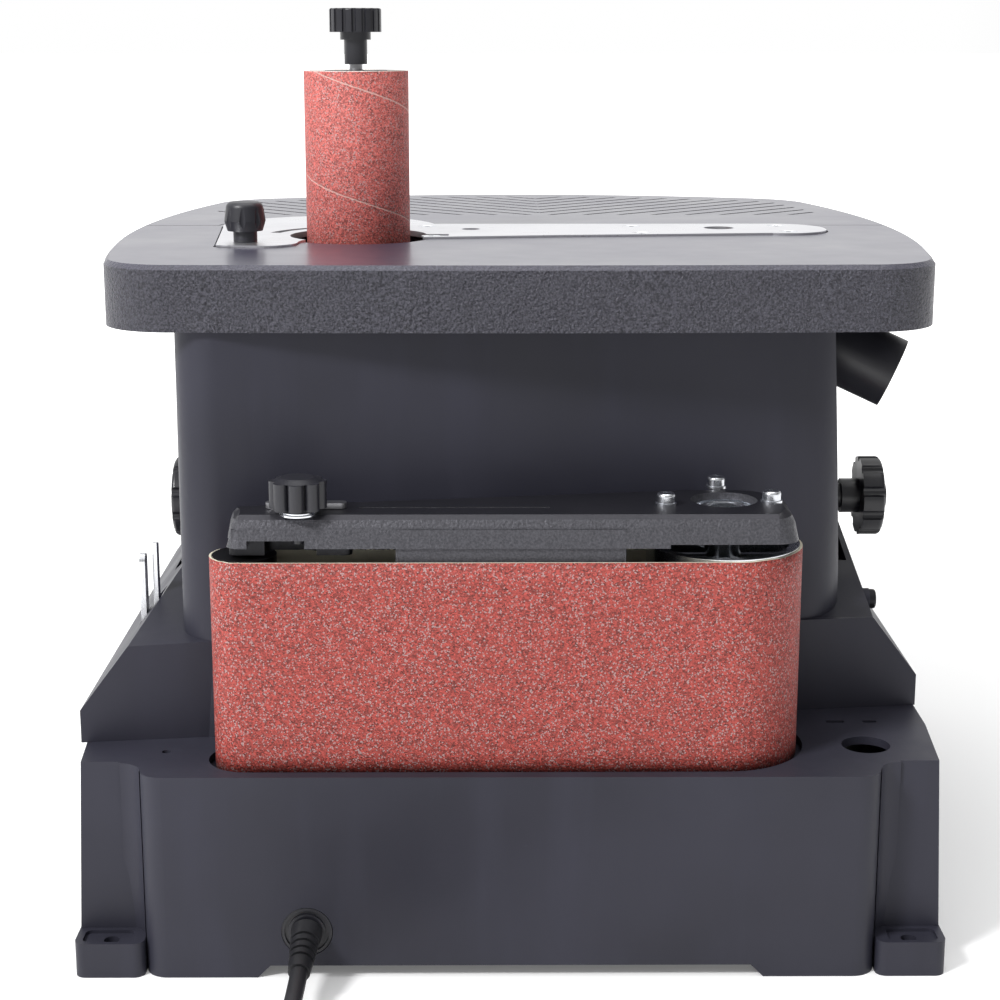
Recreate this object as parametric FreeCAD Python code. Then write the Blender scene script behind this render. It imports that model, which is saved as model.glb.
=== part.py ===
import FreeCAD, Part
import math
import os

# Oscillating belt and spindle sander, in millimetres.
# X runs left to right from the cord side, Y runs from the cord side to the operator, Z is up.
# The origin is the centre of the four bench-mounting holes, on the plane of the feet.

V = FreeCAD.Vector
X_AXIS, Y_AXIS, Z_AXIS = V(1, 0, 0), V(0, 1, 0), V(0, 0, 1)

# ---- driving dimensions ----
# base housing
BASE_X, BASE_Y = 202.0, 184.0      # half width and half depth at the corner columns
BASE_BULGE = 206.0                 # half width at mid depth
BASE_DRAFT = 1.8                   # the walls lean in this much, above and below mid height
TRAY_X, TRAY_FRONT = 171.0, -203.0  # front tray between the columns
LEDGE_Z = 99.0                     # top of the ledge that holds the stored belt arm
BASE_WALL = 4.0
FOOT_RISE = 6.0
FOOT_X = 112.0                     # inner end of each foot
BENCH_X, BENCH_Y, BENCH_HOLE = 187.0, 195.0, 7.4
PAD_TOP = 17.0
# upper body
BODY_LEFT_Y, BODY_RIGHT_Y = -151.0, -108.0   # the rear wall is set askew
BODY_LEAN = 6.0                    # the rear wall leans this far towards the operator
BODY_BACK_Y = 150.0
BODY_WALL = 4.0
BODY_FOOT_X, BODY_TOP_X = 166.0, 157.0
BODY_LEFT_IN = 9.0                 # the left wall closes in by this much towards the rear
SHOULDER_Z, SHOULDER_TOP_Z = 115.0, 146.0
SHOULDER_RUN = 105.0               # depth over which the top of a shoulder climbs to its ridge
SHOULDER_RIDGES = ((-1, 167.0, 163.0), (1, 180.5, 171.0))   # side, half width and height of the ridge
# table
TABLE_Z, RIM, PLATE = 326.0, 31.0, 8.0
TABLE_X = 4.8                      # the table sits a little to the right of the base
SPLIT_Y, SPLIT_GAP = 48.0, 1.2
HINGE_Z = 309.0
# spindle
SPINDLE_X, SPINDLE_Y = -77.7, -15.0
SHAFT_R = 6.0
SLEEVE_BORE = SHAFT_R + 0.05
DRUM_R, SLEEVE_R = 25.7, 26.8
DRUM_Z, DRUM_H = 297.0, 114.0
STROKE = 24.0
THROAT_R = 35.5
# drive
MOTOR_X, MOTOR_Y = 62.0, -15.0
MOTOR_R = 44.0
PULLEY_Z, PULLEY_H = 112.0, 16.0
MOTOR_PULLEY_R, SPINDLE_PULLEY_R = 12.0, 36.0
# belt arm
BELT_W, BELT_T, BELT_Z = 101.6, 1.0, 95.9
ROLLER_R, IDLER_R = 36.0, 15.0
ARM_FRONT = -193.0                 # outer face of the stored belt
ROLLER_X, IDLER_X = 99.5, -121.8
ROLLER_Y = ARM_FRONT + BELT_T + ROLLER_R
IDLER_Y = ARM_FRONT + BELT_T + IDLER_R
ARM_Z0, ARM_TOP = 203.5, 218.0
LEVER_X, LEVER_Y = -108.0, -172.0
TRACK_X, TRACK_Y = -96.0, -184.0
ROLLER_GAP = 0.25                  # the rollers are drawn this much inside the belt
# dust port
PORT_END, PORT_TILT = (195.0, -60.0, 261.4), 24.0   # middle of the duct's mouth, and its fall
# tilt lock
LOCK_Y, LOCK_Z = 32.0, 176.5
TRUNNION_X, TRUNNION_T = 170.0, 4.0
# cord
CORD_R = 4.1


# ---- shape helpers ----
def box(x0, x1, y0, y1, z0, z1):
    return Part.makeBox(x1 - x0, y1 - y0, z1 - z0, V(x0, y0, z0))


def cyl(r, p, length, axis=Z_AXIS):
    return Part.makeCylinder(r, length, V(*p), axis)


def cone(r0, r1, p, length, axis=Z_AXIS):
    return Part.makeCone(r0, r1, length, V(*p), axis)


def tube(ro, ri, p, length, axis=Z_AXIS):
    start = V(*p) - axis * 1.0
    return cyl(ro, p, length, axis).cut(Part.makeCylinder(ri, length + 2, start, axis))


def wire(points):
    """A closed wire: (x, y) points joined by lines; an ("arc", mid, end) item bends through mid."""
    first = V(points[0][0], points[0][1], 0)
    last, edges = first, []
    for item in points[1:]:
        if item[0] == "arc":
            mid, end = V(*item[1], 0), V(*item[2], 0)
            edges.append(Part.Arc(last, mid, end).toShape())
        else:
            end = V(item[0], item[1], 0)
            edges.append(Part.LineSegment(last, end).toShape())
        last = end
    if (last - first).Length > 1e-6:
        edges.append(Part.LineSegment(last, first).toShape())
    return Part.Wire(edges)


def prism(points, z0, z1):
    face = Part.Face(wire(points))
    face.translate(V(0, 0, z0))
    return face.extrude(V(0, 0, z1 - z0))


def prism_xz(points, y0, y1):
    """Extrudes an (x, z) outline along Y."""
    shape = prism(points, -y1, -y0)
    shape.rotate(V(0, 0, 0), X_AXIS, 90)
    return shape


def prism_yz(points, x0, x1):
    """Extrudes a (y, z) outline along X."""
    shape = prism(points, x0, x1)
    shape.rotate(V(0, 0, 0), V(1, 1, 1), 120)
    return shape


def rounded(x0, x1, y0, y1, r, z0, z1):
    k = r * (1 - math.sqrt(0.5))
    return prism([
        (x0 + r, y0), (x1 - r, y0), ("arc", (x1 - k, y0 + k), (x1, y0 + r)),
        (x1, y1 - r), ("arc", (x1 - k, y1 - k), (x1 - r, y1)),
        (x0 + r, y1), ("arc", (x0 + k, y1 - k), (x0, y1 - r)),
        (x0, y0 + r), ("arc", (x0 + k, y0 + k), (x0 + r, y0)),
    ], z0, z1)


def fuse(shapes):
    return shapes[0].multiFuse(shapes[1:]).removeSplitter()


def cut(shape, *tools):
    return shape.cut(Part.makeCompound(list(tools)))


def turned(shape, degrees, centre=(0, 0, 0), axis=Z_AXIS):
    copy = shape.copy()
    copy.rotate(V(*centre), axis, degrees)
    return copy


def moved(shape, x, y, z):
    copy = shape.copy()
    copy.translate(V(x, y, z))
    return copy


def mirrored(shape):
    return shape.mirror(V(0, 0, 0), X_AXIS)


def edge_near(shape, test):
    return [e for e in shape.Edges if test(e.CenterOfMass, e)]


def fluted(r, height, count, depth, dome):
    """A knob head of radius r with rounded flutes, its axis on Z and its foot at the origin."""
    body = cyl(r, (0, 0, 0), height)
    body = body.makeFillet(dome, [body.Edges[0]]) if dome else body
    flute_r = math.pi * r / count * 0.42
    away = r + flute_r - depth
    flutes = []
    for i in range(count):
        a = 2 * math.pi * i / count
        flutes.append(cyl(flute_r, (away * math.cos(a), away * math.sin(a), -1), height + 2))
    return cut(body, *flutes)


def screw(p, head_r, head_h, shank_r, shank, axis=Z_AXIS, hexagon=1.6):
    """A socket-head screw whose head stands on p, with its shank going the other way."""
    head = cyl(head_r, (0, 0, 0), head_h)
    head = head.makeFillet(head_h * 0.35, edge_near(head, lambda c, e: c.z > head_h - 0.01))
    socket = Part.Face(Part.makePolygon([
        V(hexagon * math.cos(math.pi * k / 3), hexagon * math.sin(math.pi * k / 3), head_h * 0.4)
        for k in range(7)])).extrude(V(0, 0, head_h))
    shape = fuse([head.cut(socket), cyl(shank_r, (0, 0, -shank), shank + 0.5)])
    shape.Placement = FreeCAD.Placement(V(*p), FreeCAD.Rotation(Z_AXIS, axis))
    return shape


parts = {}


# ---- base housing: open underneath, with the pocket that stores the belt arm ----
def base_outline(inset):
    x, y, bulge = BASE_X - inset, BASE_Y - inset, BASE_BULGE - inset
    return [(-x, -y), (x, -y), (bulge, -y + 50), (bulge, y - 40), (x - 6, y + 14),
            (-x + 6, y + 14), (-bulge, y - 40), (-bulge, -y + 50)]


def tray_outline(inset):
    x, front = TRAY_X - inset, TRAY_FRONT + inset
    back, r = -120.0 - inset, 11.0
    k = r * (1 - math.sqrt(0.5))
    return [(-x - r, -BASE_Y), ("arc", (-x - k, -BASE_Y - k), (-x, -BASE_Y - r)),
            (-x, front + r), ("arc", (-x + k, front + k), (-x + r, front)),
            (x - r, front), ("arc", (x - k, front + k), (x, front + r)),
            (x, -BASE_Y - r), ("arc", (x + k, -BASE_Y - k), (x + r, -BASE_Y)),
            (x + r, back), (-x - r, back)]


def wall_y(x):
    """Where the askew rear wall stands at x."""
    return BODY_LEFT_Y + (x + BODY_FOOT_X) / (2 * BODY_FOOT_X) * (BODY_RIGHT_Y - BODY_LEFT_Y)


def pocket(grow, z0, z1):
    """The stadium-like pocket round the stored belt."""
    x0, x1 = IDLER_X - IDLER_R - BELT_T, ROLLER_X + ROLLER_R + BELT_T
    front = ARM_FRONT
    back0, back1 = ARM_FRONT + 2 * (IDLER_R + BELT_T), ARM_FRONT + 2 * (ROLLER_R + BELT_T)
    return prism([
        (IDLER_X, front - grow), (ROLLER_X, front - grow),
        ("arc", (x1 + grow, ROLLER_Y), (ROLLER_X - 7, back1 + grow)),
        (IDLER_X - 1.5, back0 + grow), ("arc", (x0 - grow, IDLER_Y), (IDLER_X, front - grow)),
    ], z0, z1)


def drafted(outline, low_inset, high_inset, z0, z1):
    """A solid between an outline's low inset at z0 and its high inset at z1."""
    low, high = wire(outline(low_inset)), wire(outline(high_inset))
    low.translate(V(0, 0, z0))
    high.translate(V(0, 0, z1))
    return Part.makeLoft([low, high], True, True)


def make_base():
    d = BASE_DRAFT
    outer = fuse([drafted(base_outline, -d, d, 0, LEDGE_Z), prism(tray_outline(0), 0, LEDGE_Z)])
    inner = fuse([drafted(base_outline, BASE_WALL - d, BASE_WALL + d, -1, LEDGE_Z - BASE_WALL),
                  prism(tray_outline(BASE_WALL), -1, LEDGE_Z - BASE_WALL)])
    shell = outer.cut(inner)
    # the ledge opens into the upper body
    opening = prism([(-150, -128), (150, -94), (150, 140), (-150, 140)], LEDGE_Z - 10, LEDGE_Z + 1)
    # pocket walls, floor and mouth
    cup = pocket(6, BELT_Z - 4.5, LEDGE_Z - 1).cut(pocket(3.2, BELT_Z - 1.0, LEDGE_Z))
    shell = shell.cut(pocket(3.2, LEDGE_Z - 5, LEDGE_Z + 1))
    # feet stand proud of the walls and the middle is raised
    slope = FOOT_RISE + 1
    gaps = [prism_xz([(-FOOT_X - slope, -1), (FOOT_X + slope, -1), (FOOT_X, FOOT_RISE),
                      (-FOOT_X, FOOT_RISE)], -230, 230),
            prism_yz([(-128 - slope, -1), (128 + slope, -1), (128, FOOT_RISE), (-128, FOOT_RISE)],
                     -230, 230)]
    solids = [shell.cut(opening), cup.cut(opening)]
    for sx in (-1, 1):
        for sy in (-1, 1):
            x0, x1 = sorted((sx * TRAY_X, sx * (BASE_X + 1.5)))
            y0, y1 = sorted((sy * 168, sy * -TRAY_FRONT))
            solids.append(rounded(x0, x1, y0, y1, 5, 0, PAD_TOP))
    solids.append(cyl(6, (-162.4, -168.6, LEDGE_Z - 40), 39))   # a post for the ledge screw
    base = fuse(solids)
    # each pad has its bench hole in a shallow recess
    cuts = []
    for sx in (-1, 1):
        for sy in (-1, 1):
            cuts.append(cyl(BENCH_HOLE / 2, (sx * BENCH_X, sy * BENCH_Y, -1), 40))
            x0, x1 = sorted((sx * (BENCH_X - 10), sx * (BENCH_X + 13)))
            y0, y1 = sorted((sy * (BENCH_Y - 7), sy * (BENCH_Y + 5.5)))
            cuts.append(rounded(x0, x1, y0, y1, 3, PAD_TOP - 1.6, PAD_TOP + 1))
    # accessory hole, cord hole, screw hole and two narrow slots of the ledge
    cuts.append(cyl(11.5, (169.6, -161, LEDGE_Z - 60), 70))
    cuts.append(cyl(12.0, (-94.6, -230, 23), 60, Y_AXIS))
    cuts.append(cyl(2.2, (-162.4, -168.6, LEDGE_Z - 20), 30))
    for x0, x1 in ((156, 165), (174, 181)):
        cuts.append(rounded(x0, x1, -129.5, -126.5, 1, LEDGE_Z - 8, LEDGE_Z + 1))
    return cut(base, *gaps, *cuts)


parts["base_housing"] = make_base()

parts["bottom_cover"] = cut(
    prism(base_outline(BASE_WALL + 1.0), FOOT_RISE + 0.5, FOOT_RISE + 2.5),
    *[rounded(min(sx * 160, sx * 230), max(sx * 160, sx * 230),
              min(sy * 160, sy * 230), max(sy * 160, sy * 230), 4, 0, 20)
      for sx in (-1, 1) for sy in (-1, 1)],
    *[rounded(x, x + 40, 60 + 14 * k, 64 + 14 * k, 1.9, 0, 20)
      for x in (30, 80) for k in range(5)])

parts["rubber_feet"] = Part.makeCompound([
    cone(9, 11, (sx * 150, sy * 176, 0), FOOT_RISE + 0.5)
    for sx in (-1, 1) for sy in (-1, 1)])


# ---- upper body: a thin shell with shoulders, its rear wall askew ----
def plan_rounded(inset, lean):
    """Plan outline of the upper body; its rear corners are round."""
    x, back_y, r = BODY_FOOT_X + 1 - inset, BODY_BACK_Y - inset, 22.0
    k = r * (1 - math.sqrt(0.5))
    left, right = wall_y(-x) + inset + lean, wall_y(x) + inset + lean
    x_left = -x + BODY_LEFT_IN
    return [(x_left + r, left + r * 0.11), (x - r, right - r * 0.11),
            ("arc", (x - k, right + k), (x, right + r)), (x, back_y), (-x, back_y),
            (x_left, left + r), ("arc", (x_left + k, left + k), (x_left + r, left + r * 0.11))]


def body_solid(inset):
    """The whole volume of the upper body, drawn in by inset."""
    foot, top = BODY_FOOT_X - inset, BODY_TOP_X - inset
    upper = prism_xz([(-foot - 1, LEDGE_Z), (foot + 1, LEDGE_Z), (foot, 165),
                      (top, TABLE_Z - PLATE), (-top, TABLE_Z - PLATE), (-foot, 165)],
                     -200, 200)
    low, high = wire(plan_rounded(inset, 0)), wire(plan_rounded(inset, BODY_LEAN))
    low.translate(V(0, 0, LEDGE_Z))
    high.translate(V(0, 0, TABLE_Z - PLATE))
    upper = upper.common(Part.makeLoft([low, high], True, True))
    wide = BASE_BULGE - 1 - inset
    shoulders = []
    for sx, x, z in SHOULDER_RIDGES:
        ridge, top, y = z - inset, SHOULDER_TOP_Z - inset, wall_y(sx * 185) + inset
        side = prism_xz([(0, LEDGE_Z), (sx * wide, LEDGE_Z), (sx * wide, SHOULDER_Z - inset * 0.5),
                         (sx * (181.5 - inset), SHOULDER_TOP_Z), (sx * (x - inset), ridge), (0, ridge)],
                        -200, 200)
        climb = prism_yz([(-200, 90), (200, 90), (200, ridge), (y + SHOULDER_RUN, ridge), (y, top),
                          (-200, top)], -250, 250)
        shoulders.append(side.common(climb))
    shoulders = fuse(shoulders)
    shoulders = shoulders.common(prism([
        (-BASE_BULGE, wall_y(-BASE_BULGE) + inset), (BASE_BULGE, wall_y(BASE_BULGE) + inset),
        (BASE_BULGE, BODY_BACK_Y - inset), (-BASE_BULGE, BODY_BACK_Y - inset)], LEDGE_Z, 180))
    shape = upper.fuse(shoulders)
    # the operator side slopes away under the tilting table
    slope = prism_yz([(SPLIT_Y - 10 - inset, 400), (SPLIT_Y - 10 - inset, 292),
                      (BODY_BACK_Y - inset, 292 - (BODY_BACK_Y - SPLIT_Y + 10)),
                      (300, 170), (300, 400)], -250, 250)
    return shape.cut(slope)


def make_body():
    shell = body_solid(0).cut(body_solid(BODY_WALL))
    shell = shell.cut(prism([(-158, -138), (158, -104), (158, 140), (-158, 140)],
                            LEDGE_Z - 1, LEDGE_Z + 5))
    shell = shell.cut(box(-140, 140, -92, SPLIT_Y - 18, 300, 330))
    # holes for the clamp studs and for the switch on the operator side
    holes = [cyl(4.2, (sx * 150, LOCK_Y, LOCK_Z), 40, X_AXIS * sx) for sx in (-1, 1)]
    holes.append(box(-31, 31, 120, 160, 124, 172))
    return cut(shell, *holes)


parts["body_housing"] = make_body()


# ---- table: a fixed rear half and a tilting half on the operator side ----
def table_outline(inset):
    """Plan outline of the whole table: bowed sides with round corners."""
    c, i = TABLE_X, inset
    near, far = -149.0, 266.0
    w_near, w_mid, w_far = 197.0, 207.0, 183.0
    return [(c - 160 + i * 0.6, near + 3 + i), ("arc", (c, near + i), (c + 160 - i * 0.6, near + 3 + i)),
            ("arc", (c + 186 - i * 0.8, near + 12 + i * 0.75), (c + w_near - i, near + 36)),
            ("arc", (c + w_mid - i, 30), (c + w_far - i, 205 - i * 0.3)),
            ("arc", (c + 172 - i * 0.8, 223 - i * 0.8), (c + 148 - i * 0.5, 237 - i)),
            ("arc", (c, far - i), (c - 148 + i * 0.5, 237 - i)),
            ("arc", (c - 172 + i * 0.8, 223 - i * 0.8), (c - w_far + i, 205 - i * 0.3)),
            ("arc", (c - w_mid + i, 30), (c - w_near + i, near + 36)),
            ("arc", (c - 186 + i * 0.8, near + 12 + i * 0.75), (c - 160 + i * 0.6, near + 3 + i))]


def insert_outline(grow):
    """The throat plate: a lobe at the left, the throat round the spindle and a long tail."""
    g = grow
    return [(-146 - g, -60), ("arc", (-144 - g, -66 - g), (-138, -68 - g)), (-121, -70 - g),
            ("arc", (-112, -66 - g), (-106 + g * 0.5, -52 - g)),
            ("arc", (-98, -34 - g), (-80, -31 - g)), (27, -16 - g), (140, -5 - g),
            ("arc", (168 + g, 4), (171 + g, 18)),
            ("arc", (166 + g, 36 + g), (146, 46.6 + g)), (-40, 46.6 + g),
            ("arc", (-54 + g * 0.7, 74 + g * 0.7), (-84, 96 + g)),
            ("arc", (-118 - g * 0.4, 92 + g), (-146 - g * 0.6, 68 + g * 0.8)),
            ("arc", (-154 - g, 50), (-154 - g, 30))]


def table_casting():
    shoulder = TABLE_Z - 2.2
    plate = prism(table_outline(0), TABLE_Z - RIM, shoulder)
    low, high = wire(table_outline(0)), wire(table_outline(2.2))
    low.translate(V(0, 0, shoulder))
    high.translate(V(0, 0, TABLE_Z))
    plate = plate.fuse(Part.makeLoft([low, high], True, True))
    hollow = prism(table_outline(9), TABLE_Z - RIM - 1, TABLE_Z - PLATE)
    return plate.cut(hollow)


WEB_PLACES = (-110, 0, 110)
INSERT_T = 3.0
INSERT_Z = TABLE_Z - 2.0
whole_table = table_casting()
near_side = box(-300, 300, -300, SPLIT_Y, 200, 400)
lobe_land = prism(insert_outline(4), TABLE_Z - RIM - 1, TABLE_Z + 5)
land_gap = prism(insert_outline(4 + SPLIT_GAP), TABLE_Z - RIM - 1, TABLE_Z + 5)
seat = prism(insert_outline(1.1), INSERT_Z, TABLE_Z + 5)
screw_places = [(-43.3, 32), (-39.8, -19), (67.8, 32), (70.7, -5), (147, 34), (149, 2)]


def lobe_slot(grow):
    """A curved slot round the lobe side of the throat, for the clamp of the belt arm."""
    ring = tube(49 + grow, 43.5 - grow, (SPINDLE_X, SPINDLE_Y, 300), 60)
    return ring.common(prism([(SPINDLE_X, SPINDLE_Y), (SPINDLE_X - 60, SPINDLE_Y + 16 - grow),
                              (SPINDLE_X - 46, SPINDLE_Y + 76 + grow)], 300, 360))


def make_rear_table():
    lobe = prism(insert_outline(4), TABLE_Z - PLATE, TABLE_Z)
    shape = fuse([whole_table.common(near_side), lobe])
    webs = [box(x - 3, x + 3, -142, -96, TABLE_Z - 22, TABLE_Z - PLATE + 1) for x in WEB_PLACES]
    shape = fuse([shape, *webs])
    throat = cyl(THROAT_R + 3, (SPINDLE_X, SPINDLE_Y, 280), 60)
    tail_hole = cyl(8.2, (114.3, 22.9, 280), 60)
    taps = [cyl(1.7, (x, y, INSERT_Z - 5), 20) for x, y in screw_places]
    taps += [cyl(2.6, (-132.7, -48.4, INSERT_Z - 12), 20)]
    return cut(shape, seat, throat, tail_hole, lobe_slot(1), *taps)


def make_front_table():
    far_side = box(-300, 300, SPLIT_Y + SPLIT_GAP, 300, 200, 400)
    shape = whole_table.common(far_side).cut(land_gap)
    lugs = [prism_yz([(SPLIT_Y + 12, TABLE_Z - PLATE + 0.5), (SPLIT_Y + 12, 304), (SPLIT_Y + 70, 304),
                      (SPLIT_Y + 70, TABLE_Z - PLATE + 0.5)], x0, x0 + 6)
            for x0 in (TRUNNION_X + 4, -TRUNNION_X - 10)]
    shape = fuse([shape, *lugs])
    # below the hinge axis the edge slopes away, so that it clears the rear half at full tilt
    y, z = SPLIT_Y + SPLIT_GAP, TABLE_Z - RIM - 1
    relief = prism_yz([(y - 1, HINGE_Z + 1), (y, HINGE_Z + 1), (y + (HINGE_Z - z) * 1.03, z), (y - 1, z)],
                      -300, 300)
    return cut(shape, chevrons(), relief)


def chevrons():
    """Shallow V grooves, every one with its point towards the split."""
    centre, step, depth, width = 20.0, 20.0, 0.9, 2.6
    field = prism(table_outline(20), TABLE_Z - depth, TABLE_Z + 1)
    field = field.common(box(-300, 300, SPLIT_Y + 66, 300, TABLE_Z - depth, TABLE_Z + 1))
    bars = []
    for side in (-1, 1):
        for k in range(-8, 10):
            bar = box(0, 520, -width / 2, width / 2, TABLE_Z - depth, TABLE_Z + 1)
            bar.rotate(V(0, 0, 0), Z_AXIS, 45 if side > 0 else 135)
            bar.translate(V(centre, SPLIT_Y + 60 + step * k, 0))
            x0, x1 = (centre - 1.2, 400) if side > 0 else (-400, centre + 1.2)
            bars.append(bar.common(box(x0, x1, -300, 400, 300, 340)))
    return fuse(bars).common(field)


def make_insert():
    plate = prism(insert_outline(0), INSERT_Z, INSERT_Z + INSERT_T)
    throat = cyl(THROAT_R, (SPINDLE_X, SPINDLE_Y, 300), 60)
    key = box(SPINDLE_X, SPINDLE_X + 47, SPINDLE_Y - 4.5, SPINDLE_Y + 4.5, 300, 350)
    round_holes = [cyl(4.8, (-19.5, 16.8, 300), 60), cyl(8.0, (114.3, 22.9, 300), 60),
                   cyl(4.0, (-132.7, -48.4, 300), 60)]
    sinks = [cone(2.2, 5.2, (x, y, INSERT_Z - 0.01), INSERT_T + 0.02) for x, y in screw_places]
    return cut(plate, throat, key, lobe_slot(0), *round_holes, *sinks)


parts["rear_table"] = make_rear_table()
parts["front_table"] = make_front_table()
parts["table_insert"] = make_insert()
parts["insert_screws"] = Part.makeCompound([
    fuse([cone(2.1, 5.0, (x, y, INSERT_Z + 0.1), INSERT_T - 0.2),
          cyl(1.6, (x, y, INSERT_Z - 4.5), 5)]).cut(
              cyl(1.4, (x, y, INSERT_Z + INSERT_T - 1.4), 5))
    for x, y in screw_places])


def make_arm_lock_knob():
    """A tapered fluted knob on a smooth collar, standing on the lobe of the throat plate."""
    x, y, z = -132.7, -48.4, INSERT_Z + INSERT_T
    head = cone(8.9, 10.4, (x, y, z + 5.6), 5).fuse(cone(10.4, 9.0, (x, y, z + 10.6), 9.4)).removeSplitter()
    head = head.makeFillet(3.2, edge_near(head, lambda c, e: c.z > z + 19.9))
    flutes = [cyl(2.0, (x + 11.4 * math.cos(k * math.pi / 4), y + 11.4 * math.sin(k * math.pi / 4),
                        z + 5), 16) for k in range(8)]
    head = head.cut(Part.makeCompound(flutes))
    return fuse([head, cyl(6.0, (x, y, z + 0.15), 6), cyl(2.4, (x, y, z - 14), 15)])


parts["arm_lock_knob"] = make_arm_lock_knob()


# ---- tilt: quadrant plates under the front table, pins on the split line, clamp knobs ----
def make_quadrant(side):
    r_in, r_out = 120.0, 149.0
    hinge = (SPLIT_Y, HINGE_Z)
    reach = math.hypot(LOCK_Y - SPLIT_Y, LOCK_Z - HINGE_Z)
    start = math.atan2(LOCK_Z - HINGE_Z, LOCK_Y - SPLIT_Y)

    def on(r, a):
        return (hinge[0] + r * math.cos(a), hinge[1] + r * math.sin(a))

    a0, a1 = start - 0.07, start + math.radians(45) + 0.09
    am = (a0 + a1) / 2
    plate = prism_yz([(SPLIT_Y + 12, 315), (SPLIT_Y - 9, 312), (SPLIT_Y - 9, 300), on(r_out, a0),
                      ("arc", on(r_out, am), on(r_out, a1)), (SPLIT_Y + 70, 300),
                      (SPLIT_Y + 70, 315)], TRUNNION_X, TRUNNION_X + TRUNNION_T)
    window = prism_yz([on(40, a0 + 0.55), on(110, a0 + 0.16), ("arc", on(110, am), on(110, a1 - 0.16)),
                       on(62, a1 - 0.1)], TRUNNION_X - 1, TRUNNION_X + TRUNNION_T + 1)
    slot = (reach - 3.3, reach + 3.3)
    s0, s1 = start, start + math.radians(45)
    mid = (s0 + s1) / 2
    path = prism_yz([on(slot[0], s0), ("arc", on(slot[0], mid), on(slot[0], s1)),
                     ("arc", on(reach, s1 + 3.3 / reach), on(slot[1], s1)),
                     ("arc", on(slot[1], mid), on(slot[1], s0)),
                     ("arc", on(reach, s0 - 3.3 / reach), on(slot[0], s0))],
                    TRUNNION_X - 1, TRUNNION_X + TRUNNION_T + 1)
    pin_hole = cyl(4.05, (TRUNNION_X - 2, *hinge), 20, X_AXIS)
    plate = cut(plate, window, path, pin_hole)
    return plate if side > 0 else mirrored(plate)


def make_hinge_pin(side):
    """A shouldered pin through the quadrant plate, carried by a bracket of the body."""
    y, z = SPLIT_Y, HINGE_Z
    pin = fuse([cyl(4.0, (TRUNNION_X - 4, y, z), 9.5, X_AXIS),
                cyl(6.5, (TRUNNION_X + TRUNNION_T + 0.3, y, z), 2.2, X_AXIS)])
    bracket = fuse([box(TRUNNION_X - 10.3, TRUNNION_X - 4, y - 18, y - 1, 296, TABLE_Z - PLATE),
                    cyl(8.5, (TRUNNION_X - 10.3, y, z), 6.3, X_AXIS),
                    box(TRUNNION_X - 16, TRUNNION_X - 4, y - 30, y - 14, 300, TABLE_Z - PLATE)])
    shape = fuse([pin, bracket])
    return shape if side > 0 else mirrored(shape)


def make_lock_stud(side):
    """The clamp stud: its square head bears on the inside of the body wall."""
    inner = BODY_FOOT_X - 13
    length = 49.5 if side > 0 else 29.0
    shape = fuse([cyl(3.0, (inner, LOCK_Y, LOCK_Z), length, X_AXIS),
                  cyl(9.0, (inner - 1, LOCK_Y, LOCK_Z), 5, X_AXIS)])
    return shape if side > 0 else mirrored(shape)


def make_tilt_knob(side):
    """A fluted wheel that clamps the quadrant plate; the right one stands on a long collar."""
    if side > 0:
        collar = [cone(8.5, 7.5, (0, 0, 12), 3.0), cyl(9.6, (0, 0, -10), 10.2), cyl(7.0, (0, 0, -21.5), 12)]
        knob = fuse([fluted(22.0, 12.0, 10, 2.6, 2.5), *collar]).cut(cyl(3.02, (0, 0, -30), 36))
        place = V(197, LOCK_Y, LOCK_Z)
    else:
        knob = fuse([fluted(22.0, 9.5, 10, 2.6, 2.0), cyl(8.0, (0, 0, -1.2), 2)])
        knob = knob.cut(cyl(3.02, (0, 0, -3), 10))
        place = V(175.6, LOCK_Y, LOCK_Z)
    knob.Placement = FreeCAD.Placement(place, FreeCAD.Rotation(Z_AXIS, X_AXIS))
    return knob if side > 0 else mirrored(knob)


for side, word in ((-1, "left"), (1, "right")):
    parts[f"tilt_quadrant_{word}"] = make_quadrant(side)
    parts[f"hinge_pin_{word}"] = make_hinge_pin(side)
    parts[f"tilt_lock_knob_{word}"] = make_tilt_knob(side)
parts["tilt_lock_studs"] = Part.makeCompound([make_lock_stud(-1), make_lock_stud(1)])


# ---- motor: universal motor hung from the rear table, shaft down ----
MOTOR_Z0, MOTOR_Z1 = 146.0, 262.0


def make_motor_case():
    x, y = MOTOR_X, MOTOR_Y
    can = tube(MOTOR_R, MOTOR_R - 3, (x, y, MOTOR_Z0), MOTOR_Z1 - MOTOR_Z0)
    floor = tube(MOTOR_R, 11.3, (x, y, MOTOR_Z0), 5)
    lid = tube(MOTOR_R, 11.3, (x, y, MOTOR_Z1 - 5), 5)
    vents = [turned(box(x + 14, x + 34, y - 3, y + 3, z - 1, z + 8), k * 45, (x, y, 0))
             for k in range(8) for z in (MOTOR_Z0, MOTOR_Z1 - 7)]
    ears = [box(x + s * 52 - 9, x + s * 52 + 9, y - 12, y + 12, MOTOR_Z1 - 6, MOTOR_Z1)
            for s in (-1, 1)]
    posts = [cyl(7, (x + s * 53, y, MOTOR_Z1), TABLE_Z - PLATE - MOTOR_Z1) for s in (-1, 1)]
    return fuse([cut(fuse([can, floor, lid]), *vents), *ears, *posts])


def make_bearing(x, y, z, ro, ri, h):
    """A ball bearing drawn as two rings and a cage of balls."""
    mid, ball = (ro + ri) / 2, (ro - ri) * 0.19
    rings = [tube(ro, ro - (ro - ri) * 0.3, (x, y, z), h), tube(ri + (ro - ri) * 0.3, ri, (x, y, z), h)]
    web = tube(ro - (ro - ri) * 0.28, ri + (ro - ri) * 0.28, (x, y, z + h / 2 - 0.6), 1.2)
    balls = [Part.makeSphere(ball, V(x + mid * math.cos(a), y + mid * math.sin(a), z + h / 2))
             for a in [2 * math.pi * k / 8 for k in range(8)]]
    return fuse([*rings, web, *balls])


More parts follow.
